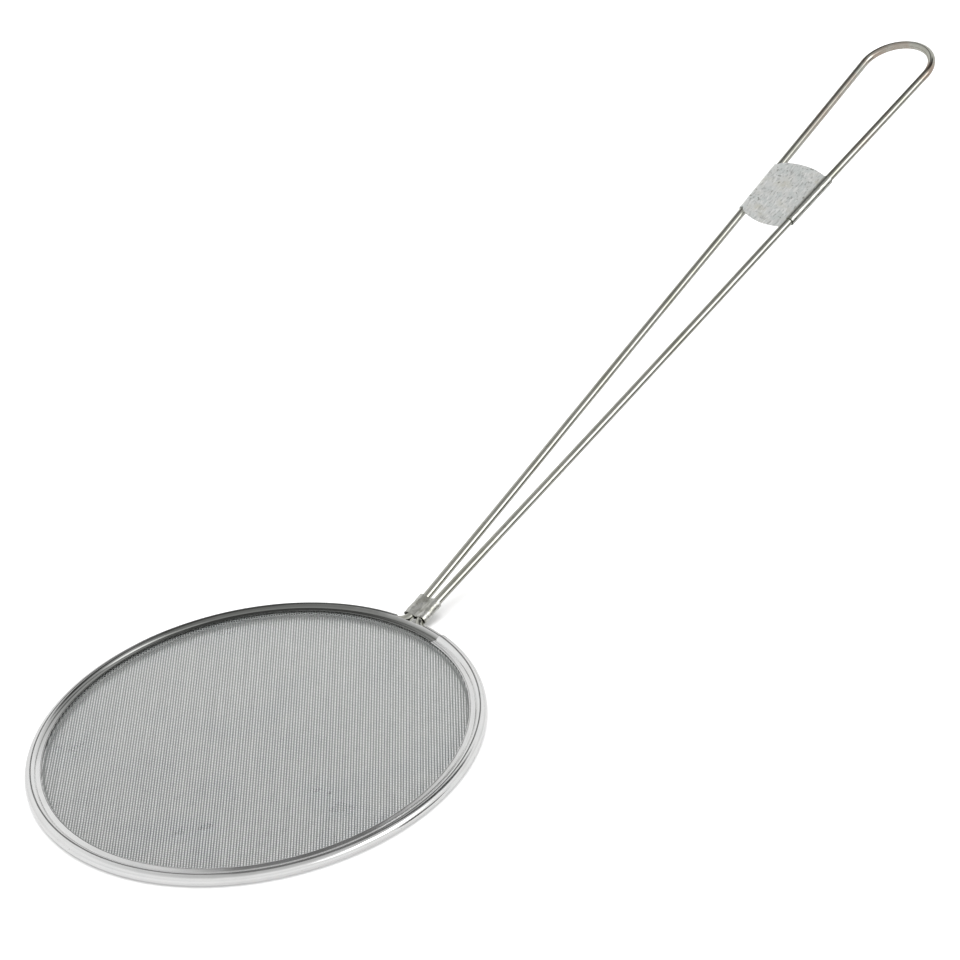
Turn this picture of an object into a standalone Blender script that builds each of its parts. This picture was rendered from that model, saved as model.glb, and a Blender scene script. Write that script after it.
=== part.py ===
"""Flat wire-cloth skimmer: a shallow woven pan in a rolled sheet rim, on a long two-leg wire handle.

Frame: origin at the centre of the cloth's underside, +Z up, +X from the pan along the handle.
"""

import math

import bmesh
import bpy
from mathutils import Vector

MM = 0.001

# Driving dimensions, in millimetres
RIM_RADIUS = 100.0
WIRE_RADIUS = 2.0
SHEET = 0.35
CLEARANCE = 0.2  # between the wire and each sheet rolled round it
BEAD_FOOT = -0.4  # the rim bead stands this much below the cloth's underside

CLOTH_THICKNESS = 0.7
CLOTH_WALL_RADIUS = 92.3  # outer face of the cloth's upturned wall
CLOTH_EDGE_RADIUS = 94.6  # outer edge of the cloth, inside the rim's lips
CLOTH_EDGE_HEIGHT = 2.3  # underside of the gripped edge
CLOTH_FOOT_BEND = 0.6  # reach of the bend from the floor up into the wall
CLOTH_FOOT_EASE = 0.15  # that bend's middle stands this far in from the sharp corner
CLOTH_INNER_EASE = 0.3  # the same bend on the inside
CLOTH_SHOULDER_EASE = 0.2  # rounding where the wall turns out into the gripped edge

LIP_INNER_RADIUS = 92.5  # inner edge of the rim's upper lip
LIP_UNDERSIDE = 3.35  # height of the upper lip's underside
LIP_CONE = 0.25  # the upper lip's inner edge stands this much higher than its root
LIP_CROWN = 0.12  # and the lip bows up by this much
LOWER_LIP_INNER_RADIUS = 92.65
LOWER_LIP_UNDERSIDE = 1.6
GROOVE_ANGLE = 148.0  # on the bead's section, degrees from straight outward
GROOVE_DEPTH = 1.4  # in sheet thicknesses, on the strip's inner face
GROOVE_SLOPE = 0.1  # how far the strip leans in from the groove to the lip's underside
BEAD_END_ANGLE = -172.0  # where the bead runs into the lower lip
LAP_ANGLE = math.radians(-12.5)  # where the hoop's outer end covers its inner end
LAP_SPREAD = math.radians(26.0)  # the lap sinks back to the bead's size over this angle
LAP_EDGE = math.radians(0.12)  # half the angle that the lap's step takes
LAP_COVER = 0.6  # share of the lap's thickness left level with the bead's centre line

HANDLE_RISE = math.radians(16.74)
HANDLE_ROOT_RADIUS = 98.2  # where the handle's line meets the rim, in plan
HANDLE_ROOT_HEIGHT = 0.75  # above the bead's centre line
LEG_ROOT_SPREAD = 2.85  # half the distance between the legs at the rim
LEG_SPREAD_RATE = 0.0393  # half-spread gained per millimetre of handle
GRIP_BEND_START = 406.6  # along the handle, where the round end starts
ROOT_BEND = 5.0  # length of the bend from the rim circle into each leg
ROOT_BEND_LIFT = Vector((0.6, 0, 0.6))  # how far the bend's corner stands off the rim circle
WIRE_END_GAP = 0.6  # half the gap between the wire's two ends, opposite the handle

NOTCH_HALF_WIDTH = 9.6
NOTCH_DEPTH = 1.9  # below the bead's centre line
NOTCH_INSET = 0.6  # inward of the bead's centre line
NOTCH_OVERRUN = 1.0  # the cutter passes the rim's outside by this much

FERRULE_START, FERRULE_END = 3.0, 14.6
FERRULE_LOBE = 3.55  # from the handle's middle to the centre of each lobe
FERRULE_DIP = 1.1  # depth of the pinch between the wires
FERRULE_BULGE = 1.1  # how much further out the loose side of the sleeve stands

FERRULE_LOBE_STEPS = 10
FERRULE_STATIONS = 4

PLATE_START, PLATE_END = 287.5, 320.5
PLATE_BULGE = 5.2
LEFT_ROLL_END = -115.0  # where each roll's free edge lies, degrees round its wire
RIGHT_ROLL_END = -315.0
PLATE_COLUMNS = 8
ROLL_STEPS = 15
FLAT_STEPS = 9
BULGE_SHARPNESS = 0.6  # below 1, the ends of the flat part bow out squarely

RING_SEGMENTS = 80
BEND_STEPS = 8
LEG_STEPS = 8
GRIP_STEPS = 20
WIRE_BEVEL_RESOLUTION = 3
BEAD_STEPS = 16
BORE_STEPS = 12

BEAD_BORE = WIRE_RADIUS + CLEARANCE
BEAD_RADIUS = BEAD_BORE + SHEET
BEAD_CIRCLE = RIM_RADIUS - BEAD_RADIUS
BEAD_HEIGHT = BEAD_FOOT + BEAD_RADIUS
HANDLE_ALONG = Vector((math.cos(HANDLE_RISE), 0, math.sin(HANDLE_RISE)))
HANDLE_ACROSS = Vector((0, 1, 0))
HANDLE_UP = HANDLE_ALONG.cross(HANDLE_ACROSS)
HANDLE_ROOT = Vector((HANDLE_ROOT_RADIUS, 0, BEAD_HEIGHT + HANDLE_ROOT_HEIGHT))


def clear_scene():
    for obj in list(bpy.data.objects):
        bpy.data.objects.remove(obj, do_unlink=True)


def material(name, colour, roughness, metallic=1.0):
    made = bpy.data.materials.new(name)
    made.use_nodes = True
    shader = made.node_tree.nodes["Principled BSDF"]
    shader.inputs["Base Color"].default_value = (*colour, 1)
    shader.inputs["Roughness"].default_value = roughness
    shader.inputs["Metallic"].default_value = metallic
    return made


def mesh_object(name, points, faces, surface, crease=35):
    """A mesh object from points in millimetres, smooth except along edges sharper than crease degrees."""
    mesh = bpy.data.meshes.new(name)
    mesh.from_pydata([Vector(p) * MM for p in points], [], faces)
    shaped = bmesh.new()
    shaped.from_mesh(mesh)
    bmesh.ops.recalc_face_normals(shaped, faces=shaped.faces)
    shaped.to_mesh(mesh)
    shaped.free()
    mesh.materials.append(surface)
    mesh.shade_smooth()
    mesh.set_sharp_from_angle(angle=math.radians(crease))
    obj = bpy.data.objects.new(name, mesh)
    bpy.context.collection.objects.link(obj)
    return obj


def arc(radius, start, end, steps, centre=(0, 0)):
    """Points from angle start to angle end, in degrees, both included."""
    turns = [math.radians(start + (end - start) * i / steps) for i in range(steps + 1)]
    return [(centre[0] + radius * math.cos(a), centre[1] + radius * math.sin(a)) for a in turns]


def handle_point(along, across, up=0.0):
    return HANDLE_ROOT + along * HANDLE_ALONG + across * HANDLE_ACROSS + up * HANDLE_UP


def leg_spread(along):
    return LEG_ROOT_SPREAD + LEG_SPREAD_RATE * along


def ring_faces(rings, size):
    """Quads joining consecutive closed outlines of the same size; the last ring joins the first."""
    faces = []
    for i in range(rings):
        j = (i + 1) % rings
        for k in range(size):
            m = (k + 1) % size
            faces.append((i * size + k, i * size + m, j * size + m, j * size + k))
    return faces


# Rim hoop

def hoop_outline():
    """The strip's section about the bead's centre line: (outward, up, covered by the lap or not)."""
    tip = LIP_INNER_RADIUS - BEAD_CIRCLE
    under = LIP_UNDERSIDE - BEAD_HEIGHT
    top = under + SHEET
    groove_out = BEAD_RADIUS * math.cos(math.radians(GROOVE_ANGLE))
    shoulder = groove_out - 2 * SHEET
    crown = top + LIP_CONE / 2 + LIP_CROWN
    upper_lip = [
        (tip, under + LIP_CONE),
        (tip, top + LIP_CONE),
        ((tip + shoulder) / 2, crown),
        (shoulder, top),
    ]
    bead = arc(BEAD_RADIUS, GROOVE_ANGLE, BEAD_END_ANGLE, BEAD_STEPS)
    low_tip = LOWER_LIP_INNER_RADIUS - BEAD_CIRCLE
    low = LOWER_LIP_UNDERSIDE - BEAD_HEIGHT
    root = -BEAD_RADIUS - SHEET
    lower_lip = [(root, low), (low_tip, low), (low_tip, low + SHEET), (root + SHEET, low + SHEET)]
    bore = arc(BEAD_BORE, -180, GROOVE_ANGLE, BORE_STEPS)
    groove = (groove_out, bead[0][1] - GROOVE_DEPTH * SHEET)
    pinch = [groove, (shoulder + GROOVE_SLOPE, under)]
    skin = len(upper_lip) + len(bead)
    outline = upper_lip + bead + lower_lip + bore + pinch
    return [(u, z, 1 <= i < skin) for i, (u, z) in enumerate(outline)]


def lap_height(angle):
    """Extra thickness of the strip at this angle: one sheet just past the lap's edge, none further on."""
    past = (LAP_ANGLE - angle) % (2 * math.pi)
    if past > LAP_SPREAD:
        return 0.0
    return SHEET * (1 - past / LAP_SPREAD)


def make_rim_hoop(surface):
    outline = hoop_outline()
    angles = [2 * math.pi * i / RING_SEGMENTS for i in range(RING_SEGMENTS)]
    lap = LAP_ANGLE % (2 * math.pi)
    angles = [a for a in angles if abs(a - lap) > math.pi / RING_SEGMENTS / 2]
    angles = sorted(angles + [lap - LAP_EDGE, lap + LAP_EDGE])
    points = []
    for angle in angles:
        extra = lap_height(angle)
        for out, up, covered in outline:
            reach = math.hypot(out, up)
            share = max(0.0, min(1.0, LAP_COVER + up / BEAD_RADIUS))
            grown = extra * share if covered else 0.0
            radius = BEAD_CIRCLE + out * (1 + grown / reach)
            height = BEAD_HEIGHT + up * (1 + grown / reach)
            points.append((radius * math.cos(angle), radius * math.sin(angle), height))
    hoop = mesh_object("rim_hoop", points, ring_faces(len(angles), len(outline)), surface)
    notch = hoop.modifiers.new("leg_notch", "BOOLEAN")
    notch.operation = "DIFFERENCE"
    notch.object = make_leg_notch()
    return hoop


def make_leg_notch():
    """The window in the bead's outer wall that lets the two legs out."""
    low = Vector((BEAD_CIRCLE - NOTCH_INSET, -NOTCH_HALF_WIDTH, BEAD_HEIGHT - NOTCH_DEPTH)) * MM
    high = Vector((RIM_RADIUS + NOTCH_OVERRUN, NOTCH_HALF_WIDTH, BEAD_HEIGHT + 2 * BEAD_RADIUS)) * MM
    mesh = bpy.data.meshes.new("leg_notch")
    shape = bmesh.new()
    bmesh.ops.create_cube(shape, size=1)
    for vert in shape.verts:
        vert.co = Vector(low[i] + (high[i] - low[i]) * (vert.co[i] + 0.5) for i in range(3))
    shape.to_mesh(mesh)
    shape.free()
    cutter = bpy.data.objects.new("leg_notch", mesh)
    bpy.context.collection.objects.link(cutter)
    cutter.hide_render = True
    cutter.display_type = "WIRE"
    return cutter


# Wire cloth

def make_wire_cloth(surface):
    """The woven disc as a closed pan as thick as the weave: floor, upturned wall and gripped edge."""
    t = CLOTH_THICKNESS
    wall = CLOTH_WALL_RADIUS
    top = CLOTH_EDGE_HEIGHT + t
    inside = wall - t
    under = [
        (wall - CLOTH_FOOT_BEND, 0.0),
        (wall - CLOTH_FOOT_EASE, CLOTH_FOOT_EASE),
        (wall, CLOTH_FOOT_BEND),
        (wall, CLOTH_EDGE_HEIGHT),
    ]
    edge = [(CLOTH_EDGE_RADIUS, CLOTH_EDGE_HEIGHT), (CLOTH_EDGE_RADIUS, top)]
    upper = [
        (wall - CLOTH_SHOULDER_EASE, top),
        (inside, top - 2 * CLOTH_SHOULDER_EASE),
        (inside, t + CLOTH_INNER_EASE),
        (inside - CLOTH_INNER_EASE, t),
    ]
    profile = under + edge + upper
    points = [
        (r * math.cos(a), r * math.sin(a), z)
        for a in (2 * math.pi * i / RING_SEGMENTS for i in range(RING_SEGMENTS))
        for r, z in profile
    ]
    size = len(profile)
    faces = []
    for i in range(RING_SEGMENTS):
        j = (i + 1) % RING_SEGMENTS
        for k in range(size - 1):
            faces.append((i * size + k, j * size + k, j * size + k + 1, i * size + k + 1))
    faces.append([i * size for i in range(RING_SEGMENTS)])
    faces.append([i * size + size - 1 for i in range(RING_SEGMENTS)])
    return mesh_object("wire_cloth", points, faces, surface)


# Frame wire

def bend(start, corner, end, steps):
    """A quadratic curve from start to end that rounds off the corner, without its two ends."""
    points = []
    for i in range(1, steps):
        t = i / steps
        points.append(start * (1 - t) ** 2 + corner * (2 * t * (1 - t)) + end * t**2)
    return points


def rim_point(angle):
    return Vector((BEAD_CIRCLE * math.cos(angle), BEAD_CIRCLE * math.sin(angle), BEAD_HEIGHT))


def frame_wire_half(side):
    """One half of the wire's path, from its end opposite the handle to the start of the round end."""
    corner_angle = math.asin(LEG_ROOT_SPREAD / BEAD_CIRCLE)
    bend_angle = corner_angle + ROOT_BEND / BEAD_CIRCLE
    end_angle = math.pi - WIRE_END_GAP / BEAD_CIRCLE
    steps = RING_SEGMENTS // 2
    ring = [end_angle + (bend_angle - end_angle) * i / steps for i in range(steps + 1)]
    path = [rim_point(side * angle) for angle in ring]
    corner = rim_point(side * corner_angle) + ROOT_BEND_LIFT
    leg_start = handle_point(ROOT_BEND, side * leg_spread(ROOT_BEND))
    path += bend(path[-1], corner, leg_start, BEND_STEPS)
    for i in range(LEG_STEPS + 1):
        along = ROOT_BEND + (GRIP_BEND_START - ROOT_BEND) * i / LEG_STEPS
        path.append(handle_point(along, side * leg_spread(along)))
    return path


def make_frame_wire(surface):
    radius = leg_spread(GRIP_BEND_START)
    left = frame_wire_half(1)
    right = frame_wire_half(-1)
    turns = [math.pi * i / GRIP_STEPS for i in range(1, GRIP_STEPS)]
    grip = [
        handle_point(GRIP_BEND_START + radius * math.sin(a), radius * math.cos(a)) for a in turns
    ]
    path = left + grip + right[::-1]
    curve = bpy.data.curves.new("frame_wire", "CURVE")
    curve.dimensions = "3D"
    curve.bevel_depth = WIRE_RADIUS * MM
    curve.bevel_resolution = WIRE_BEVEL_RESOLUTION
    curve.use_fill_caps = True
    spline = curve.splines.new("POLY")
    spline.points.add(len(path) - 1)
    for point, place in zip(spline.points, path):
        point.co = (*(place * MM), 1)
    curve.materials.append(surface)
    wire = bpy.data.objects.new("frame_wire", curve)
    bpy.context.collection.objects.link(wire)
    return wire


# Sheet pieces on the handle

def sheet_strip(name, front, back, surface, closed):
    """A sheet between two grids of points, front and back, each a list of rows of equal length."""
    rows = len(front)
    size = len(front[0])
    points = [p for row in front for p in row] + [p for row in back for p in row]
    shift = rows * size
    faces = []
    for i in range(rows if closed else rows - 1):
        j = (i + 1) % rows
        for k in range(size - 1):
            a, b, c, d = i * size + k, i * size + k + 1, j * size + k + 1, j * size + k
            faces.append((a, b, c, d))
            faces.append((shift + d, shift + c, shift + b, shift + a))
        for k in (0, size - 1):
            a, d = i * size + k, j * size + k
            faces.append((a, d, shift + d, shift + a))
    if not closed:
        for i in (0, rows - 1):
            for k in range(size - 1):
                a, b = i * size + k, i * size + k + 1
                faces.append((a, b, shift + b, shift + a))
    return mesh_object(name, points, faces, surface)


def ferrule_outline(inset):
    """The sleeve's section (across, up), squeezed in between the two wires and loose on the left."""
    radius = BEAD_RADIUS - inset
    steps = FERRULE_LOBE_STEPS
    right_lobe = arc(radius, -90, 90, steps, (-FERRULE_LOBE, 0))
    right_lobe = [(-2 * FERRULE_LOBE - x, y) for x, y in right_lobe]
    valley = []
    for i in range(1, steps):
        across = FERRULE_LOBE * (2 * i / steps - 1)
        dip = FERRULE_DIP * (0.5 + 0.5 * math.cos(math.pi * across / FERRULE_LOBE))
        valley.append((across, radius - dip))
    left_lobe = []
    for x, y in arc(radius, 90, -90, steps, (FERRULE_LOBE, 0)):
        bulge = FERRULE_BULGE * ((x - FERRULE_LOBE) / radius) ** 2
        left_lobe.append((x + bulge, y))
    return right_lobe + valley + left_lobe + [(-x, -y) for x, y in valley]


def make_neck_ferrule(surface):
    length = FERRULE_END - FERRULE_START
    stations = [FERRULE_START + length * i / FERRULE_STATIONS for i in range(FERRULE_STATIONS + 1)]
    front = [[handle_point(s, x, y) for s in stations] for x, y in ferrule_outline(0)]
    back = [[handle_point(s, x, y) for s in stations] for x, y in ferrule_outline(SHEET)]
    return sheet_strip("neck_ferrule", front, back, surface, closed=True)


def plate_section(spread, offset):
    """The plate's section (across, up) at this leg spread, offset from its middle surface.

    It rolls round the +Y leg from below, crosses over to the underside of the -Y leg and rolls
    up round that one. Returns the left roll, the flat between them and the right roll.
    """
    middle = BEAD_BORE + SHEET / 2
    lean = math.degrees(math.asin(middle / spread))
    left = arc(middle + offset, LEFT_ROLL_END, 90 + lean, ROLL_STEPS, (spread, 0))
    right = arc(middle - offset, -90 + lean, RIGHT_ROLL_END, ROLL_STEPS, (-spread, 0))
    start = Vector(left[-1])
    end = Vector(right[0])
    flat = [tuple(start.lerp(end, i / FLAT_STEPS)) for i in range(1, FLAT_STEPS)]
    return left, flat, right


def plate_rows(offset):
    """Points of one face of the plate: a row along the handle for each point of its section."""
    columns = []
    for c in range(PLATE_COLUMNS + 1):
        share = c / PLATE_COLUMNS
        along = PLATE_START + (PLATE_END - PLATE_START) * share
        left, flat, right = plate_section(leg_spread(along), offset)
        column = [handle_point(along, x, y) for x, y in left]
        for i, (x, y) in enumerate(flat):
            bulge = PLATE_BULGE * math.sin(math.pi * (i + 1) / FLAT_STEPS) ** BULGE_SHARPNESS
            column.append(handle_point(along + bulge * (2 * share - 1), x, y))
        column += [handle_point(along, x, y) for x, y in right]
        columns.append(column)
    return [list(row) for row in zip(*columns)]


def make_grip_plate(surface):
    front = plate_rows(SHEET / 2)
    back = plate_rows(-SHEET / 2)
    return sheet_strip("grip_plate", front, back, surface, closed=False)


def main():
    clear_scene()
    tinned_sheet = material("tinned_sheet", (0.72, 0.72, 0.71), 0.22)
    steel_wire = material("steel_wire", (0.55, 0.55, 0.52), 0.28)
    woven_wire = material("woven_wire", (0.62, 0.63, 0.64), 0.38)
    dull_sheet = material("dull_sheet", (0.42, 0.42, 0.38), 0.42)
    matte_tin = material("matte_tin", (0.74, 0.75, 0.72), 0.5)
    make_rim_hoop(tinned_sheet)
    make_wire_cloth(woven_wire)
    make_frame_wire(steel_wire)
    make_neck_ferrule(dull_sheet)
    make_grip_plate(matte_tin)


main()
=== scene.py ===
"""Looks of the wire-cloth skimmer: woven cloth, lapped tinned rim, round wire handle and sheet pieces.

Lengths are in millimetres until a mesh is made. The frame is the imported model's: origin at the
centre of the cloth's underside, +Z up, +X along the handle.
"""

import math
import random

import bmesh
import bpy
from mathutils import Matrix, Vector, noise


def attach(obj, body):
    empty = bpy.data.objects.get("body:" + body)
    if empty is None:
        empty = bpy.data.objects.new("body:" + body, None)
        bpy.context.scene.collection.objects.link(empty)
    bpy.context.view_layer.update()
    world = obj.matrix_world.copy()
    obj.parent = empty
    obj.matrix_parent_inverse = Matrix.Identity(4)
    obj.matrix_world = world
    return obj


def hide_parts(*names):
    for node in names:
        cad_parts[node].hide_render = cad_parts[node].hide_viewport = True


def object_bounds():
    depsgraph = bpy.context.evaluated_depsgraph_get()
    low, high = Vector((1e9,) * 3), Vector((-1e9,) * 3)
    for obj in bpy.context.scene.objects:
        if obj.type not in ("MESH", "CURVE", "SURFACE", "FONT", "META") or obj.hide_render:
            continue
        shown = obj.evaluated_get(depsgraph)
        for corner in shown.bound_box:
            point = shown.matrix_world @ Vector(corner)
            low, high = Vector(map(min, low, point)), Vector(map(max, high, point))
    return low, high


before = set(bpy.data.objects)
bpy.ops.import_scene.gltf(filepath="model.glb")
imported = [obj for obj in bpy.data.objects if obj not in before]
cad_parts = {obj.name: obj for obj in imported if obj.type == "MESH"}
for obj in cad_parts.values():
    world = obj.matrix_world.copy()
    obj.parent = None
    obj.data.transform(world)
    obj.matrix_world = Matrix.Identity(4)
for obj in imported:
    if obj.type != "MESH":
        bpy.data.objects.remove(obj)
cad_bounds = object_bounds()

MM = 0.001
random.seed(7)

# The object's dimensions, in millimetres, as its solids have them
RIM_RADIUS = 100.0
WIRE_RADIUS = 2.0
SHEET = 0.35
BEAD_BORE = 2.2  # radius inside the rolled bead
BEAD_RADIUS = BEAD_BORE + SHEET
BEAD_CIRCLE = RIM_RADIUS - BEAD_RADIUS  # radius of the bead's centre line
BEAD_HEIGHT = 2.15
LIP_INNER_RADIUS = 92.5
LIP_UNDERSIDE = 3.35
LOWER_LIP_INNER_RADIUS = 92.65
LOWER_LIP_UNDERSIDE = 1.6
GROOVE_ANGLE = 148.0
LAP_ANGLE = math.radians(-12.5)  # where the covering end of the strip starts
LAP_SPREAD = math.radians(26.0)  # the covering end comes back to size over this angle
LAP_HIDDEN = math.radians(13.0)  # the other end runs on under it by this angle
LAP_SPRING = 0.12  # the covering end springs open by this much
HOOP_STEPS = 520
LEG_WINDOW = ((-0.6, -9.6, -1.9), (1.0, 9.6, 5.0))  # corners, from the bead's circle and from the rim

HANDLE_RISE = math.radians(16.74)
HANDLE_ALONG = Vector((math.cos(HANDLE_RISE), 0, math.sin(HANDLE_RISE)))
HANDLE_ACROSS = Vector((0, 1, 0))
HANDLE_UP = HANDLE_ALONG.cross(HANDLE_ACROSS)
HANDLE_ROOT = Vector((98.2, 0, BEAD_HEIGHT + 0.75))
LEG_ROOT_SPREAD = 2.85
LEG_SPREAD_RATE = 0.0393
GRIP_BEND_START = 406.6
ROOT_BEND = 5.0  # length over which each leg turns out of the bead
WIRE_SIDES = 28
LEG_BOW, LEG_BOW_LENGTH, LEG_WAVE = 0.25, 330, 0.12  # how far the legs stray from straight

FERRULE_START, FERRULE_END = 3.0, 14.6
FERRULE_LOBE = 3.55  # each lobe's centre from the middle
FERRULE_DIP = 1.1
FERRULE_BULGE = 1.1
FERRULE_DENT, FERRULE_LEAN, FERRULE_RAGGED = 0.22, 0.25, 0.25

PLATE_START, PLATE_END = 287.5, 320.5
PLATE_BULGE = 5.2
PLATE_WAVE = 0.18

CLOTH_FLOOR = 0.36  # middle of the weave over the pan's floor
CLOTH_WALL_RADIUS = 91.95
CLOTH_BEND = 0.8  # of the two bends between floor, wall and gripped edge
CLOTH_EDGE_HEIGHT = 2.65
CLOTH_EDGE_RADIUS = 94.5
WEAVE_PITCH = 1.18
WEAVE_UNEVEN = 0.04  # each wire lies up to this far from its place
WEAVE_STRAY = 0.05  # and wanders by this much along its length
WARP_RADIUS, WARP_CRIMP, WARP_LIFT = 0.28, 0.03, 0.08
WEFT_RADIUS, WEFT_CRIMP, WEFT_LIFT = 0.16, 0.08, -0.12
WEAVE_ANGLE = math.radians(43.38)
WEAVE_BANDS = 3


# Camera, floor and light

CAMERA_LENS, CAMERA_SENSOR = 103.125, 36
CAMERA_PLACE = (-0.5898, -0.7821, 0.6735)
CAMERA_RIGHT = (0.6650, -0.7356, -0.1297)
CAMERA_BACK = (-0.5962, -0.6273, 0.5011)
FLOOR_HALF = 3.0  # metres
FLOOR_GREY = 0.93
LAMP_PLACE, LAMP_TARGET = (0.2, 0.2, 2.6), (0.2, 0, 0)
LAMP_SIZE, LAMP_POWER = 3.2, 82

# Brightness of the studio, as the metal reflects it, by the sine of the height above the horizon
STUDIO = (
    (-1.0, 0.72), (-0.5, 0.84), (-0.12, 0.84), (0.0, 0.74),
    (0.3, 0.80), (0.62, 0.82), (0.84, 0.62), (0.95, 0.50),
)
# Darker gaps and brighter panels in it, in degrees: (azimuth, elevation, full radius, outer radius),
# and their brightness
PATCHES = (
    ((-74, 33, 13, 21), 3.0),
    ((-98, 27, 8, 17), 1.4),
    ((-63, -12, 8, 12), 0.02),
    ((-51, -14, 6, 10), 0.04),
    ((-8, 50, 10, 17), 0.06),
    ((14, 60, 8, 15), 0.08),
)
DARK_GAP_AZIMUTH = 50.0  # a dark upright gap behind the object
DARK_GAP_HALF_WIDTH = (5.0, 9.0)  # degrees to where it starts and ends fading
DARK_GAP_FOOT = (0.18, 0.27)  # sine of the height it fades in over
DARK_GAP_BRIGHTNESS = 0.14

# Painted dark reflection on the rim, put into its base colour as a darker tone: the far arc all over, and
# the flat inner part from the seam to the left side
PAINTED_REFLECTION_AZIMUTH = 40
PAINTED_REFLECTION_EDGE = (0.071, 0.086)  # metres along that azimuth
PAINTED_REFLECTION_TONE = (0.26, 0.265, 0.255)
FLANGE_PAINTED_REFLECTION_SEAM = (-0.0222, -0.0214)  # metres round the rim
FLANGE_PAINTED_REFLECTION_END = (0.19, 0.24)
FLANGE_PAINTED_REFLECTION_RADIUS = (0.0955, 0.0972)  # metres
FLANGE_PAINTED_REFLECTION_TONE = (0.22, 0.225, 0.215)


def make_camera():
    camera = bpy.data.cameras.new("camera")
    camera.lens = CAMERA_LENS
    camera.sensor_width = CAMERA_SENSOR
    camera.clip_start = 0.05
    camera.clip_end = 20
    view = bpy.data.objects.new("camera", camera)
    bpy.context.collection.objects.link(view)
    right = Vector(CAMERA_RIGHT).normalized()
    back = Vector(CAMERA_BACK).normalized()
    up = back.cross(right).normalized()
    right = up.cross(back)
    turn = Matrix((right, up, back)).transposed().to_4x4()
    view.matrix_world = Matrix.Translation(CAMERA_PLACE) @ turn
    bpy.context.scene.camera = view


def node(tree, kind, **values):
    made = tree.nodes.new(kind)
    for name, value in values.items():
        setattr(made, name, value)
    return made


def make_floor():
    mesh = bpy.data.meshes.new("floor")
    half = FLOOR_HALF
    z = cad_bounds[0][2]
    corners = [(-half, -half, z), (half, -half, z), (half, half, z), (-half, half, z)]
    mesh.from_pydata(corners, [], [(0, 1, 2, 3)])
    floor = bpy.data.objects.new("floor", mesh)
    bpy.context.collection.objects.link(floor)
    paper = bpy.data.materials.new("floor_paper")
    paper.use_nodes = True
    shader = paper.node_tree.nodes["Principled BSDF"]
    shader.inputs["Base Color"].default_value = (FLOOR_GREY, FLOOR_GREY, FLOOR_GREY, 1)
    shader.inputs["Roughness"].default_value = 0.9
    shader.inputs["Specular IOR Level"].default_value = 0.1
    mesh.materials.append(paper)
    floor.visible_glossy = False


def area_light(name, place, target, size, power):
    """A large soft lamp for the floor and the dull surfaces; the metal reflects the studio instead."""
    light = bpy.data.lights.new(name, "AREA")
    light.shape = "DISK"
    light.size = size
    light.energy = power
    lamp = bpy.data.objects.new(name, light)
    bpy.context.collection.objects.link(lamp)
    lamp.location = place
    aim = Vector(target) - Vector(place)
    lamp.rotation_euler = aim.to_track_quat("-Z", "Y").to_euler()
    lamp.visible_camera = False
    lamp.visible_glossy = False


def compass(azimuth, elevation):
    a, e = math.radians(azimuth), math.radians(elevation)
    return Vector((math.cos(a) * math.cos(e), math.sin(a) * math.cos(e), math.sin(e)))


def facing(tree, direction, toward):
    """The cosine of the angle between a direction socket and a fixed direction."""
    made = node(tree, "ShaderNodeVectorMath", operation="DOT_PRODUCT")
    tree.links.new(direction, made.inputs[0])
    made.inputs[1].default_value = toward
    return made.outputs["Value"]


def make_light():
    """A pale studio of panels and gaps for the metal to reflect, under one large soft lamp."""
    world = bpy.data.worlds.new("studio")
    bpy.context.scene.world = world
    world.use_nodes = True
    tree = world.node_tree
    background = tree.nodes["Background"]
    direction = node(tree, "ShaderNodeTexCoord").outputs["Generated"]
    height = spread_of(tree, facing(tree, direction, (0, 0, 1)), -1.0, 1.0, 0.0, 1.0)
    studio = ramp_of(tree, height, *[((z + 1) / 2, (grey, grey, grey)) for z, grey in STUDIO])

    across = facing(tree, direction, compass(DARK_GAP_AZIMUTH + 90, 0))
    near, far = (math.sin(math.radians(width)) for width in DARK_GAP_HALF_WIDTH)
    inside = spread_of(tree, math_node(tree, "ABSOLUTE", across, 0.0), near, far, 1.0, 0.0)
    ahead = spread_of(tree, facing(tree, direction, compass(DARK_GAP_AZIMUTH, 0)), 0.2, 0.35, 0.0, 1.0)
    gap = math_node(tree, "MULTIPLY", inside, ahead)
    above = spread_of(tree, facing(tree, direction, (0, 0, 1)), *DARK_GAP_FOOT, 0.0, 1.0)
    gap = math_node(tree, "MULTIPLY", gap, above)
    studio = mixed(tree, gap, studio, (DARK_GAP_BRIGHTNESS,) * 3)

    for (azimuth, elevation, full, outer), grey in PATCHES:
        angle = facing(tree, direction, compass(azimuth, elevation))
        full, outer = math.cos(math.radians(full)), math.cos(math.radians(outer))
        studio = mixed(tree, spread_of(tree, angle, outer, full, 0.0, 1.0), studio, (grey,) * 3)

    seen = node(tree, "ShaderNodeLightPath").outputs["Is Camera Ray"]
    tree.links.new(mixed(tree, seen, studio, (1.0, 1.0, 1.0)), background.inputs["Color"])
    area_light("overhead_panel", LAMP_PLACE, LAMP_TARGET, LAMP_SIZE, LAMP_POWER)


# Materials

def surface(name, build):
    made = bpy.data.materials.new(name)
    made.use_nodes = True
    tree = made.node_tree
    shader = tree.nodes["Principled BSDF"]
    build(tree, shader)
    return made


def object_place(tree):
    return node(tree, "ShaderNodeTexCoord").outputs["Object"]


def noise_at(tree, place, scale, detail=3.0, rough=0.55):
    made = node(tree, "ShaderNodeTexNoise")
    made.inputs["Scale"].default_value = scale
    made.inputs["Detail"].default_value = detail
    made.inputs["Roughness"].default_value = rough
    tree.links.new(place, made.inputs["Vector"])
    return made.outputs["Fac"]


def ramp_of(tree, value, *stops):
    """A colour ramp through (position, colour) stops."""
    made = node(tree, "ShaderNodeValToRGB")
    tree.links.new(value, made.inputs["Fac"])
    held = made.color_ramp.elements
    held[0].position, held[0].color = stops[0][0], (*stops[0][1], 1)
    held[1].position, held[1].color = stops[-1][0], (*stops[-1][1], 1)
    for position, colour in stops[1:-1]:
        held.new(position).color = (*colour, 1)
    return made.outputs["Color"]


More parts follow.
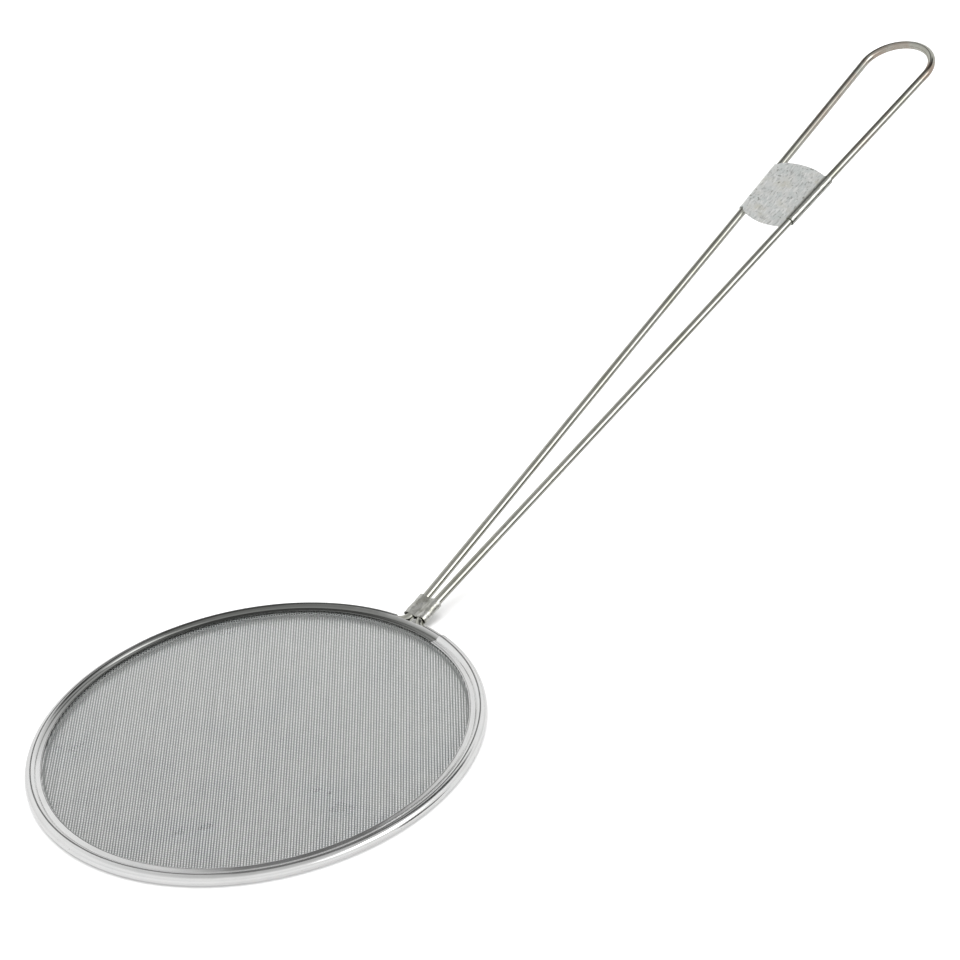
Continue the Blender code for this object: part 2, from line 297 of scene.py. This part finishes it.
def spread_of(tree, value, low, high, out_low, out_high):
    made = node(tree, "ShaderNodeMapRange")
    tree.links.new(value, made.inputs["Value"])
    for name, number in (("From Min", low), ("From Max", high), ("To Min", out_low), ("To Max", out_high)):
        made.inputs[name].default_value = number
    return made.outputs["Result"]


def mixed(tree, share, first, second, blend="MIX"):
    """Colour first mixed with second by share; each may be a socket, a number or a colour."""
    made = node(tree, "ShaderNodeMix", data_type="RGBA", blend_type=blend)
    for socket, given in ((made.inputs["Factor"], share), (made.inputs[6], first), (made.inputs[7], second)):
        if isinstance(given, (int, float)):
            socket.default_value = given
        elif isinstance(given, tuple):
            socket.default_value = (*given, 1)
        else:
            tree.links.new(given, socket)
    return made.outputs[2]


def bumped(tree, shader, height, strength, distance):
    made = node(tree, "ShaderNodeBump")
    made.inputs["Strength"].default_value = strength
    made.inputs["Distance"].default_value = distance
    tree.links.new(height, made.inputs["Height"])
    tree.links.new(made.outputs["Normal"], shader.inputs["Normal"])


def stretched(tree, place, scale, turn=(0, 0, 0)):
    made = node(tree, "ShaderNodeMapping")
    made.inputs["Scale"].default_value = scale
    made.inputs["Rotation"].default_value = turn
    tree.links.new(place, made.inputs["Vector"])
    return made.outputs["Vector"]


def math_node(tree, operation, first, second):
    made = node(tree, "ShaderNodeMath", operation=operation)
    for socket, given in zip(made.inputs, (first, second)):
        if isinstance(given, (int, float)):
            socket.default_value = given
        else:
            tree.links.new(given, socket)
    return made.outputs["Value"]


def round_place(tree):
    """Object coordinates unrolled about Z: (distance round the rim, distance out, height) in metres."""
    split = node(tree, "ShaderNodeSeparateXYZ")
    tree.links.new(object_place(tree), split.inputs[0])
    x, y, z = split.outputs
    angle = math_node(tree, "ARCTAN2", y, x)
    out = math_node(tree, "SQRT", math_node(tree, "ADD", math_node(tree, "MULTIPLY", x, x),
                                            math_node(tree, "MULTIPLY", y, y)), 0.0)
    joined = node(tree, "ShaderNodeCombineXYZ")
    tree.links.new(math_node(tree, "MULTIPLY", angle, RIM_RADIUS * MM), joined.inputs[0])
    tree.links.new(out, joined.inputs[1])
    tree.links.new(z, joined.inputs[2])
    return joined.outputs[0]


def rim_look(tree, shader):
    """Bright tin: drawn lines round the hoop, cloudy dull patches, a few dark specks, and a painted dark
    reflection on the far arc and the inner flange.
    """
    place = round_place(tree)
    cloud = noise_at(tree, object_place(tree), 45, 3)
    lines = noise_at(tree, stretched(tree, place, (12, 900, 900)), 1.0, 4, 0.6)
    speck = noise_at(tree, object_place(tree), 520, 2, 0.7)
    tone = ramp_of(tree, cloud, (0.3, (0.86, 0.86, 0.85)), (0.5, (0.93, 0.93, 0.925)),
                   (0.7, (0.89, 0.90, 0.90)))
    lined = mixed(tree, spread_of(tree, lines, 0.45, 0.75, 0.0, 0.35), tone, (0.74, 0.74, 0.73))

    # Painted dark reflection: the base colour is darkened over the far arc, and over the inner flange from
    # the seam round to the left side.
    toward = facing(tree, object_place(tree), compass(PAINTED_REFLECTION_AZIMUTH, 0))
    frayed = math_node(tree, "ADD", toward, spread_of(tree, cloud, 0.3, 0.7, -0.008, 0.008))
    painted_reflection_share = spread_of(tree, frayed, *PAINTED_REFLECTION_EDGE, 0.0, 0.92)
    lined = mixed(tree, painted_reflection_share, lined, PAINTED_REFLECTION_TONE)
    split = node(tree, "ShaderNodeSeparateXYZ")
    tree.links.new(place, split.inputs[0])
    past_seam = spread_of(tree, split.outputs[0], *FLANGE_PAINTED_REFLECTION_SEAM, 0.0, 1.0)
    before_end = spread_of(tree, split.outputs[0], *FLANGE_PAINTED_REFLECTION_END, 1.0, 0.0)
    inner = spread_of(tree, split.outputs[1], *FLANGE_PAINTED_REFLECTION_RADIUS, 0.9, 0.0)
    grey = math_node(tree, "MULTIPLY", math_node(tree, "MULTIPLY", past_seam, before_end), inner)
    lined = mixed(tree, grey, lined, FLANGE_PAINTED_REFLECTION_TONE)

    spotted = mixed(tree, spread_of(tree, speck, 0.74, 0.78, 0.0, 0.8), lined, (0.22, 0.21, 0.19))
    tree.links.new(spotted, shader.inputs["Base Color"])
    tree.links.new(spread_of(tree, cloud, 0.3, 0.7, 0.10, 0.20), shader.inputs["Roughness"])
    shader.inputs["Metallic"].default_value = 1.0
    bumped(tree, shader, lines, 0.10, 0.0002)


def wire_look(tree, shader):
    """Drawn, tinned steel wire: fine lines along it, olive tarnish, brown heat marks by the grip."""
    place = object_place(tree)
    along = stretched(tree, place, (14, 900, 900), (0, HANDLE_RISE, 0))
    lines = noise_at(tree, along, 1.0, 4, 0.6)
    cloud = noise_at(tree, place, 38, 4, 0.6)
    fine = noise_at(tree, place, 420, 2, 0.6)
    tone = ramp_of(tree, cloud, (0.32, (0.42, 0.42, 0.36)), (0.5, (0.54, 0.54, 0.49)),
                   (0.68, (0.47, 0.475, 0.43)))
    split = node(tree, "ShaderNodeSeparateXYZ")
    tree.links.new(place, split.inputs[0])
    grip = spread_of(tree, split.outputs["X"], 0.405, 0.47, 0.0, 1.0)
    brown = math_node(tree, "MULTIPLY", grip, spread_of(tree, cloud, 0.46, 0.62, 0.0, 0.75))
    tone = mixed(tree, brown, tone, (0.44, 0.33, 0.26))
    tone = mixed(tree, spread_of(tree, fine, 0.60, 0.72, 0.0, 0.4), tone, (0.30, 0.29, 0.25))
    tree.links.new(tone, shader.inputs["Base Color"])
    tree.links.new(spread_of(tree, lines, 0.3, 0.7, 0.08, 0.18), shader.inputs["Roughness"])
    shader.inputs["Metallic"].default_value = 1.0
    bumped(tree, shader, mixed(tree, 0.5, lines, fine), 0.12, 0.0002)


def cloth_look(tone_dark, tone_light, metallic):
    """Satin galvanised wire with slow changes of tone, and a painted sheen that makes it paler towards the
    far side.
    """
    def build(tree, shader):
        place = object_place(tree)
        cloud = noise_at(tree, place, 22, 3)
        fine = noise_at(tree, place, 240, 2)
        middle = tuple((a + b) / 2 for a, b in zip(tone_dark, tone_light))
        tone = ramp_of(tree, cloud, (0.3, tone_dark), (0.5, tone_light), (0.7, middle))
        worn = tuple(0.7 * part for part in tone_dark)
        tone = mixed(tree, spread_of(tree, fine, 0.5, 0.7, 0.0, 0.3), tone, worn)
        # Painted sheen: the base colour grows paler towards the far side.
        toward = spread_of(tree, facing(tree, place, compass(46, 0)), -0.09, 0.09, 0.0, 0.45)
        tone = mixed(tree, toward, tone, tuple(1.6 * part for part in tone_light))
        tree.links.new(tone, shader.inputs["Base Color"])
        tree.links.new(spread_of(tree, cloud, 0.3, 0.7, 0.26, 0.38), shader.inputs["Roughness"])
        shader.inputs["Metallic"].default_value = metallic
    return build


def ferrule_look(tree, shader):
    """Dull olive-grey tinned sheet, rubbed and smeared."""
    place = object_place(tree)
    cloud = noise_at(tree, place, 260, 4, 0.6)
    fine = noise_at(tree, place, 900, 3, 0.6)
    tone = ramp_of(tree, cloud, (0.32, (0.40, 0.40, 0.35)), (0.5, (0.60, 0.60, 0.56)),
                   (0.68, (0.72, 0.72, 0.69)))
    tree.links.new(tone, shader.inputs["Base Color"])
    tree.links.new(spread_of(tree, fine, 0.3, 0.7, 0.22, 0.42), shader.inputs["Roughness"])
    shader.inputs["Metallic"].default_value = 1.0
    bumped(tree, shader, mixed(tree, 0.5, cloud, fine), 0.35, 0.0004)


def plate_look(tree, shader):
    """Matte tin with long scratches, dark specks and faint green and yellow smears, one roll rubbed."""
    place = object_place(tree)
    cloud = noise_at(tree, place, 120, 4, 0.6)
    fine = noise_at(tree, place, 700, 3, 0.65)
    speck = noise_at(tree, place, 460, 2, 0.75)
    scratch_a = noise_at(tree, stretched(tree, place, (70, 1100, 1100), (0, 0, 0.9)), 1.0, 2, 0.6)
    scratch_b = noise_at(tree, stretched(tree, place, (60, 900, 900), (0, 0, -0.25)), 1.0, 2, 0.6)
    tone = ramp_of(tree, cloud, (0.3, (0.64, 0.68, 0.665)), (0.5, (0.76, 0.77, 0.755)),
                   (0.62, (0.71, 0.715, 0.67)), (0.72, (0.64, 0.62, 0.53)))
    tone = mixed(tree, spread_of(tree, scratch_a, 0.56, 0.62, 0.0, 0.55), tone, (0.36, 0.37, 0.36))
    tone = mixed(tree, spread_of(tree, scratch_b, 0.57, 0.63, 0.0, 0.6), tone, (0.97, 0.97, 0.96))
    tone = mixed(tree, spread_of(tree, speck, 0.62, 0.68, 0.0, 0.8), tone, (0.20, 0.20, 0.17))
    across = facing(tree, place, (0, 1, 0))
    rolled = spread_of(tree, across, -0.0125, -0.0112, 1.0, 0.0)
    tone = mixed(tree, math_node(tree, "MULTIPLY", rolled, 0.85), tone, (0.46, 0.465, 0.42))
    tree.links.new(tone, shader.inputs["Base Color"])
    dull = spread_of(tree, fine, 0.3, 0.7, 0.30, 0.46)
    polish = math_node(tree, "MULTIPLY", rolled, 0.26)
    tree.links.new(math_node(tree, "SUBTRACT", dull, polish), shader.inputs["Roughness"])
    tree.links.new(spread_of(tree, rolled, 0.0, 1.0, 0.72, 1.0), shader.inputs["Metallic"])
    bumped(tree, shader, mixed(tree, 0.5, fine, scratch_a), 0.35, 0.0004)


# Mesh helpers

def mesh_object(name, points, faces, look, crease=40):
    mesh = bpy.data.meshes.new(name)
    mesh.from_pydata([(p[0] * MM, p[1] * MM, p[2] * MM) for p in points], [], faces)
    mesh.materials.append(look)
    mesh.shade_smooth()
    if crease:  # degrees; without it the whole mesh stays smooth
        mesh.set_sharp_from_angle(angle=math.radians(crease))
    obj = bpy.data.objects.new(name, mesh)
    bpy.context.collection.objects.link(obj)
    return obj


def face_outward(obj):
    shaped = bmesh.new()
    shaped.from_mesh(obj.data)
    bmesh.ops.recalc_face_normals(shaped, faces=shaped.faces)
    shaped.to_mesh(obj.data)
    shaped.free()


def adopt(piece, cad_node):
    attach(piece, "root")
    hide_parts(cad_node)


def arc(radius, start, end, steps, centre=(0, 0)):
    turns = [math.radians(start + (end - start) * i / steps) for i in range(steps + 1)]
    return [(centre[0] + radius * math.cos(a), centre[1] + radius * math.sin(a)) for a in turns]


def handle_point(along, across, up=0.0):
    return HANDLE_ROOT + along * HANDLE_ALONG + across * HANDLE_ACROSS + up * HANDLE_UP


def leg_spread(along):
    return LEG_ROOT_SPREAD + LEG_SPREAD_RATE * along


def tube(name, path, radius, sides, look):
    """A closed tube along path, with its section carried along without twist."""
    points = []
    tangent = (path[1] - path[0]).normalized()
    out = tangent.orthogonal().normalized()
    for i, place in enumerate(path):
        after = path[min(i + 1, len(path) - 1)]
        before = path[max(i - 1, 0)]
        tangent = (after - before).normalized()
        out = (out - tangent * out.dot(tangent)).normalized()
        side = tangent.cross(out)
        for k in range(sides):
            a = 2 * math.pi * k / sides
            points.append(place + radius * (math.cos(a) * out + math.sin(a) * side))
    faces = []
    for i in range(len(path) - 1):
        for k in range(sides):
            m = (k + 1) % sides
            faces.append((i * sides + k, i * sides + m, (i + 1) * sides + m, (i + 1) * sides + k))
    faces.append(tuple(range(sides))[::-1])
    faces.append(tuple(range(len(points) - sides, len(points))))
    return mesh_object(name, points, faces, look)


# Rim hoop

def hoop_outline():
    """The rolled strip's closed section about the bead's centre line: (outward, up)."""
    half = SHEET / 2
    tip = LIP_INNER_RADIUS - BEAD_CIRCLE
    lip = LIP_UNDERSIDE + half - BEAD_HEIGHT
    middle = BEAD_RADIUS - half
    groove = (BEAD_RADIUS * math.cos(math.radians(GROOVE_ANGLE)) + 0.02,
              BEAD_RADIUS * math.sin(math.radians(GROOVE_ANGLE)) - half - 0.12)
    low_tip = LOWER_LIP_INNER_RADIUS - BEAD_CIRCLE
    low = LOWER_LIP_UNDERSIDE + half - BEAD_HEIGHT
    line = [(tip + half, lip + 0.18), (tip + 0.45, lip + 0.27), (tip + 1.0, lip + 0.22),
            (tip + 1.7, lip + 0.12), (groove[0] - 0.42, lip), groove]
    line += arc(middle, GROOVE_ANGLE - 10, -168, 44)
    line += [(-middle - 0.25, low + 0.06), (-middle - 0.7, low), (low_tip + half, low)]
    smooth = []
    count = len(line)
    for i in range(count - 1):
        p0, p1, p2, p3 = (Vector(line[max(0, min(count - 1, i + d))]) for d in (-1, 0, 1, 2))
        steps = 5 if (p2 - p1).length > 0.35 else 1
        for k in range(steps):
            t = k / steps
            smooth.append(0.5 * (2 * p1 + (p2 - p0) * t + (2 * p0 - 5 * p1 + 4 * p2 - p3) * t**2
                                 + (3 * p1 - p0 - 3 * p2 + p3) * t**3))
    smooth.append(Vector(line[-1]))
    outer = []
    inner = []
    for i, point in enumerate(smooth):
        run = (smooth[min(i + 1, len(smooth) - 1)] - smooth[max(i - 1, 0)]).normalized()
        out = Vector((-run.y, run.x)) * half
        outer.append(point + out)
        inner.append(point - out)
    return outer, inner


def make_rim_hoop(look):
    outer, inner = hoop_outline()
    outline = [(p, True) for p in outer] + [(p, False) for p in inner[::-1]]
    span = 2 * math.pi + LAP_HIDDEN
    steps = HOOP_STEPS
    points = []
    for i in range(steps + 1):
        turn = span * i / steps
        angle = LAP_ANGLE - turn
        past = min(turn, LAP_SPREAD)
        extra = SHEET * (1 - past / LAP_SPREAD) + LAP_SPRING * max(0.0, 1 - turn / LAP_HIDDEN)
        place = Vector((math.cos(angle), math.sin(angle), 0))
        for section, covered in outline:
            reach = section.length
            lift = extra * max(0.0, min(1.0, 0.6 + section.y / BEAD_RADIUS))
            fine = noise.noise(place * 17.0 + Vector((section.x, section.y, 3)))
            dent = 0.05 * noise.noise(place * 4.0) + 0.02 * fine
            grown = section * (1 + lift / reach) if turn < LAP_SPREAD else section
            radius = BEAD_CIRCLE + grown.x + dent * 0.5
            height = BEAD_HEIGHT + grown.y + dent * 0.5
            points.append((radius * place.x, radius * place.y, height))
    size = len(outline)
    faces = []
    for i in range(steps):
        for k in range(size):
            m = (k + 1) % size
            faces.append((i * size + k, i * size + m, (i + 1) * size + m, (i + 1) * size + k))
    for start in (0, steps * size):
        for k in range(len(outer) - 1):
            a, b = start + k, start + k + 1
            c, d = start + size - 2 - k, start + size - 1 - k
            faces.append((a, b, c, d))
    hoop = mesh_object("rim_hoop_sheet", points, faces, look, 50)
    face_outward(hoop)
    cut_leg_window(hoop)
    adopt(hoop, "rim_hoop")


def cut_leg_window(hoop):
    """Opens the bead's outer wall where the two legs leave it."""
    (near, right, under), (far, left, over) = LEG_WINDOW
    low = Vector((BEAD_CIRCLE + near, right, BEAD_HEIGHT + under)) * MM
    high = Vector((RIM_RADIUS + far, left, BEAD_HEIGHT + over)) * MM
    mesh = bpy.data.meshes.new("leg_window")
    shape = bmesh.new()
    bmesh.ops.create_cube(shape, size=1)
    for vert in shape.verts:
        vert.co = Vector(low[i] + (high[i] - low[i]) * (vert.co[i] + 0.5) for i in range(3))
    shape.to_mesh(mesh)
    shape.free()
    cutter = bpy.data.objects.new("leg_window", mesh)
    bpy.context.collection.objects.link(cutter)
    window = hoop.modifiers.new("window", "BOOLEAN")
    window.operation = "DIFFERENCE"
    window.solver = "EXACT"
    window.object = cutter
    bpy.context.view_layer.update()
    graph = bpy.context.evaluated_depsgraph_get()
    cut = bpy.data.meshes.new_from_object(hoop.evaluated_get(graph))
    hoop.modifiers.clear()
    hoop.data = cut
    cut.set_sharp_from_angle(angle=math.radians(50))
    bpy.data.objects.remove(cutter, do_unlink=True)


# Woven cloth

def pan_profile():
    """The pan's half section as (radius, height), from its centre to the gripped edge."""
    bend = CLOTH_BEND
    low = arc(bend, -90, 0, 5, (CLOTH_WALL_RADIUS - bend, CLOTH_FLOOR + bend))
    high = arc(bend, 180, 90, 5, (CLOTH_WALL_RADIUS + bend, CLOTH_EDGE_HEIGHT - bend))
    return [(0.0, CLOTH_FLOOR)] + low + high + [(CLOTH_EDGE_RADIUS, CLOTH_EDGE_HEIGHT)]


def pan_lookup():
    """The pan's half section and the length along it at each corner, to place cloth by flat radius."""
    profile = [Vector(p) for p in pan_profile()]
    lengths = [0.0]
    for a, b in zip(profile, profile[1:]):
        lengths.append(lengths[-1] + (b - a).length)
    return profile, lengths


PAN, PAN_LENGTHS = pan_lookup()
CLOTH_REACH = PAN_LENGTHS[-1]


def pan_place(flat_x, flat_y):
    """Where a point of the flat cloth lies on the pan, and the pan's upward normal there."""
    reach = math.hypot(flat_x, flat_y)
    if reach <= PAN_LENGTHS[1]:
        return Vector((flat_x, flat_y, CLOTH_FLOOR)), Vector((0, 0, 1))
    k = 1
    while k < len(PAN) - 2 and reach > PAN_LENGTHS[k + 1]:
        k += 1
    share = (reach - PAN_LENGTHS[k]) / (PAN_LENGTHS[k + 1] - PAN_LENGTHS[k])
    radius, height = PAN[k].lerp(PAN[k + 1], share)
    run = (PAN[k + 1] - PAN[k]).normalized()
    out = Vector((flat_x, flat_y, 0)) / reach
    return out * radius + Vector((0, 0, height)), out * -run.y + Vector((0, 0, run.x))


def weave_wire(points, faces, row, family, offset):
    """Adds one wire: family 0 is warp, 1 is weft; row counts its wires, offset is its flat distance."""
    half = math.sqrt(max(0.0, CLOTH_REACH**2 - offset**2))
    count = int(half / (WEAVE_PITCH / 2))
    if count < 3:
        return
    cos_a, sin_a = math.cos(WEAVE_ANGLE), math.sin(WEAVE_ANGLE)
    radius, crimp, lift = (
        (WARP_RADIUS, WARP_CRIMP, WARP_LIFT) if family == 0 else (WEFT_RADIUS, WEFT_CRIMP, WEFT_LIFT)
    )
    centres = []
    for i in range(-count, count + 1):
        run = i * WEAVE_PITCH / 2
        stray = WEAVE_STRAY * noise.noise(Vector((run * 0.03, offset * 0.4, family * 9.0)))
        u, v = (run, offset + stray) if family == 0 else (offset + stray, run)
        place, normal = pan_place(u * cos_a - v * sin_a, u * sin_a + v * cos_a)
        crossing = 0 if i % 2 else (1 if (i // 2 + row) % 2 else -1)
        sign = 1 if family == 0 else -1
        centres.append((place + normal * (lift + crimp * crossing * sign), normal))
    first = len(points)
    for i, (centre, normal) in enumerate(centres):
        after = centres[min(i + 1, len(centres) - 1)][0]
        before = centres[max(i - 1, 0)][0]
        tangent = (after - before).normalized()
        up = (normal - tangent * normal.dot(tangent)).normalized()
        side = tangent.cross(up)
        for out in (up, side, -up, -side):
            points.append(centre + out * radius)
    for i in range(len(centres) - 1):
        a = first + 4 * i
        for k in range(4):
            m = (k + 1) % 4
            faces.append((a + k, a + m, a + 4 + m, a + 4 + k))
    faces.append((first + 3, first + 2, first + 1, first))
    last = len(points) - 4
    faces.append((last, last + 1, last + 2, last + 3))


def make_cloth(warp_look, weft_look):
    rows = int(CLOTH_REACH / WEAVE_PITCH)
    pieces = []
    for family, word, look in ((0, "warp", warp_look), (1, "weft", weft_look)):
        numbers = list(range(-rows, rows + 1))
        per_band = math.ceil(len(numbers) / WEAVE_BANDS)
        for band in range(WEAVE_BANDS):
            points = []
            faces = []
            for row in numbers[band * per_band:(band + 1) * per_band]:
                offset = row * WEAVE_PITCH + random.uniform(-WEAVE_UNEVEN, WEAVE_UNEVEN)
                weave_wire(points, faces, row, family, offset)
            piece = mesh_object(f"cloth_{word}_{band + 1}", points, faces, look, 0)
            pieces.append(piece)
    for piece in pieces:
        adopt(piece, "wire_cloth")


# Frame wire

def rim_point(angle):
    return Vector((BEAD_CIRCLE * math.cos(angle), BEAD_CIRCLE * math.sin(angle), BEAD_HEIGHT))


def frame_wire_half(side):
    """Half of the wire, from its end inside the bead to the grip's bend; side is 1 or -1."""
    corner_angle = math.asin(LEG_ROOT_SPREAD / BEAD_CIRCLE)
    bend_angle = corner_angle + ROOT_BEND / BEAD_CIRCLE
    end_angle = math.pi - 0.6 / BEAD_CIRCLE
    path = [rim_point(side * (end_angle + (bend_angle - end_angle) * i / 120)) for i in range(121)]
    corner = rim_point(side * corner_angle) + Vector((0.6, 0, 0.6))
    start = path[-1]
    end = handle_point(ROOT_BEND, side * leg_spread(ROOT_BEND))
    for i in range(1, 12):
        t = i / 12
        path.append(start * (1 - t) ** 2 + corner * (2 * t * (1 - t)) + end * t**2)
    for i in range(81):
        along = ROOT_BEND + (GRIP_BEND_START - ROOT_BEND) * i / 80
        free = math.sin(math.pi * i / 80)
        bow = LEG_BOW * free * math.sin(2 * math.pi * along / LEG_BOW_LENGTH + side)
        wave = LEG_WAVE * free * noise.noise(Vector((along * 0.02, side, 0)))
        path.append(handle_point(along, side * leg_spread(along) - bow, wave))
    return path


def make_frame_wire(look):
    radius = leg_spread(GRIP_BEND_START)
    turns = [math.pi * i / 48 for i in range(1, 48)]
    grip = [handle_point(GRIP_BEND_START + radius * math.sin(a), radius * math.cos(a)) for a in turns]
    path = frame_wire_half(1) + grip + frame_wire_half(-1)[::-1]
    wire = tube("frame_wire_round", path, WIRE_RADIUS, WIRE_SIDES, look)
    adopt(wire, "frame_wire")


# Sheet pieces on the handle

def sheet(name, front, back, look, closed):
    """A sheet between two grids of points, front and back, each a list of rows of equal length."""
    rows = len(front)
    size = len(front[0])
    points = [p for row in front for p in row] + [p for row in back for p in row]
    shift = rows * size
    faces = []
    for i in range(rows if closed else rows - 1):
        j = (i + 1) % rows
        for k in range(size - 1):
            a, b, c, d = i * size + k, i * size + k + 1, j * size + k + 1, j * size + k
            faces.append((a, b, c, d))
            faces.append((shift + d, shift + c, shift + b, shift + a))
        for k in (0, size - 1):
            a, d = i * size + k, j * size + k
            faces.append((a, d, shift + d, shift + a))
    if not closed:
        for i in (0, rows - 1):
            for k in range(size - 1):
                a, b = i * size + k, i * size + k + 1
                faces.append((a, b, shift + b, shift + a))
    piece = mesh_object(name, points, faces, look, 45)
    face_outward(piece)
    return piece


def ferrule_outline(inset, share):
    """The sleeve's section (across, up) at this share of its length, dented between the wires."""
    radius = BEAD_RADIUS - inset
    steps = 26
    loop = [(-2 * FERRULE_LOBE - x, y) for x, y in arc(radius, -90, 90, steps, (-FERRULE_LOBE, 0))]
    for i in range(1, steps):
        across = FERRULE_LOBE * (2 * i / steps - 1)
        dip = FERRULE_DIP * (0.5 + 0.5 * math.cos(math.pi * across / FERRULE_LOBE)) ** 0.7
        loop.append((across, radius - dip))
    for x, y in arc(radius, 90, -90, steps, (FERRULE_LOBE, 0)):
        loop.append((x + FERRULE_BULGE * ((x - FERRULE_LOBE) / radius) ** 2, y))
    for i in range(1, steps):
        across = FERRULE_LOBE * (1 - 2 * i / steps)
        dip = FERRULE_DIP * (0.5 + 0.5 * math.cos(math.pi * across / FERRULE_LOBE)) ** 0.7
        loop.append((across, dip - radius))
    dented = []
    for x, y in loop:
        dent = FERRULE_DENT * noise.noise(Vector((x * 0.55, y * 0.55, share * 4.0)))
        lean = FERRULE_LEAN * math.sin(math.pi * share) * (1 if x > 0 else 0)
        dented.append((x + dent - lean, y + dent))
    return dented


def make_neck_ferrule(look):
    count = 24
    stations = [i / count for i in range(count + 1)]
    grids = []
    for inset in (0.0, SHEET):
        outlines = [ferrule_outline(inset, share) for share in stations]
        rows = []
        for k in range(len(outlines[0])):
            row = []
            for share, outline in zip(stations, outlines):
                x, y = outline[k]
                ragged = FERRULE_RAGGED * noise.noise(Vector((x * 0.5, y * 0.5, 7.0))) * (2 * share - 1)
                along = FERRULE_START + (FERRULE_END - FERRULE_START) * share + ragged
                row.append(handle_point(along, x, y))
            rows.append(row)
        grids.append(rows)
    piece = sheet("neck_ferrule_sheet", grids[0], grids[1], look, closed=True)
    adopt(piece, "neck_ferrule")


def plate_rows(offset):
    """One face of the plate, offset from the middle of the sheet, as rows along the handle."""
    columns = []
    count = 40
    flats = 44
    middle = BEAD_BORE + SHEET / 2
    for c in range(count + 1):
        share = c / count
        along = PLATE_START + (PLATE_END - PLATE_START) * share
        spread = leg_spread(along)
        lean = math.degrees(math.asin(middle / spread))
        loose = 1 + 0.05 * share
        left = arc(middle * loose + offset, -115, 90 + lean, 34, (spread, 0))
        right = arc(middle - offset, -90 + lean, -315, 36, (-spread, 0))
        start, end = Vector(left[-1]), Vector(right[0])
        column = [handle_point(along, x, y) for x, y in left]
        for i in range(1, flats):
            x, y = start.lerp(end, i / flats)
            bulge = PLATE_BULGE * math.sin(math.pi * i / flats) ** 0.6
            ripple = noise.noise(Vector((x * 0.12, share * 3.0, 2.0)))
            wave = PLATE_WAVE * math.sin(math.pi * i / flats) * ripple
            column.append(handle_point(along + bulge * (2 * share - 1), x, y + wave))
        column += [handle_point(along, x, y) for x, y in right]
        columns.append(column)
    return [list(row) for row in zip(*columns)]


def make_grip_plate(look):
    piece = sheet("grip_plate_sheet", plate_rows(SHEET / 2), plate_rows(-SHEET / 2), look, closed=False)
    adopt(piece, "grip_plate")


bpy.context.scene.view_settings.view_transform = "Standard"
make_camera()
make_floor()
make_light()
make_rim_hoop(surface("tinned_rim", rim_look))
# The warp and weft are one galvanised wire in two tones: the weft painted paler to match the lit floor
# between the warps and the warp painted darker, painted light and painted shade that make the stripes.
make_cloth(surface("warp_steel_painted_shade", cloth_look((0.27, 0.295, 0.305), (0.36, 0.37, 0.365), 0.8)),
           surface("weft_steel_painted_light", cloth_look((0.42, 0.435, 0.44), (0.48, 0.49, 0.48), 0.35)))
make_frame_wire(surface("drawn_wire", wire_look))
make_neck_ferrule(surface("rubbed_sheet", ferrule_look))
make_grip_plate(surface("scratched_tin", plate_look))
